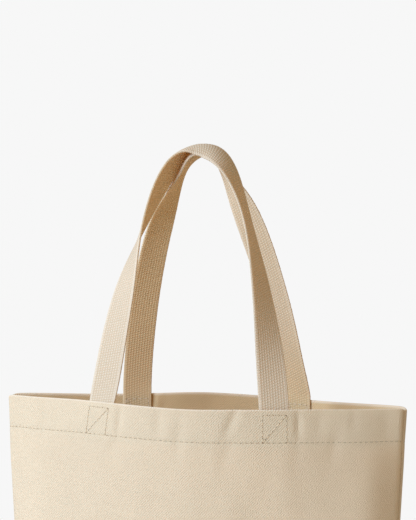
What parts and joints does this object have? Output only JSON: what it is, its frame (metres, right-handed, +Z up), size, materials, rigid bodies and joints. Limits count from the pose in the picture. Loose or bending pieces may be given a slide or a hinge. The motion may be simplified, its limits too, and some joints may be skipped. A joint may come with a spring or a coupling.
{
  "type": "canvas tote bag",
  "caption": "Plain canvas tote bag standing open on a boxed base, with a stitched hem and arched webbing handles that fold down over the rim.",
  "frame": {"origin": "middle of the flat base, on the surface the bag stands on", "axes": "+Z up; +X along the width, from the left side seam to the right as seen from the front; -Y is the front panel's side"},
  "size_m": [0.3526, 0.1292, 0.6217],
  "materials": {
    "canvas": "matt undyed cotton canvas",
    "webbing": "matt undyed cotton webbing, ribbed",
    "thread": "matt undyed cotton thread"
  },
  "bodies": {
    "bag": {"front_panel": "canvas", "front_hem": "canvas", "front_hem_thread": "thread", "front_left_handle_end": "webbing", "front_left_box_thread": "thread", "front_right_handle_end": "webbing", "front_right_box_thread": "thread", "back_panel": "canvas", "back_hem": "canvas", "back_hem_thread": "thread", "back_left_handle_end": "webbing", "back_left_box_thread": "thread", "back_right_handle_end": "webbing", "back_right_box_thread": "thread", "left_seam_allowance": "canvas", "left_seam_thread": "thread", "left_corner_allowance": "canvas", "right_seam_allowance": "canvas", "right_seam_thread": "thread", "right_corner_allowance": "canvas", "base_seam_allowance": "canvas", "base_seam_thread": "thread"},
    "front_handle": {"front_handle": "webbing"},
    "back_handle": {"back_handle": "webbing"}
  },
  "joints": [
    {"name": "front_handle_swing", "type": "hinge", "parent": "bag", "child": "front_handle", "pos_m": [0, -0.0554, 0.4005], "axis": [1, 0, 0], "range_deg": [0, 178]},
    {"name": "back_handle_swing", "type": "hinge", "parent": "bag", "child": "back_handle", "pos_m": [0, 0.0554, 0.4005], "axis": [-1, 0, 0], "range_deg": [0, 178]}
  ]
}
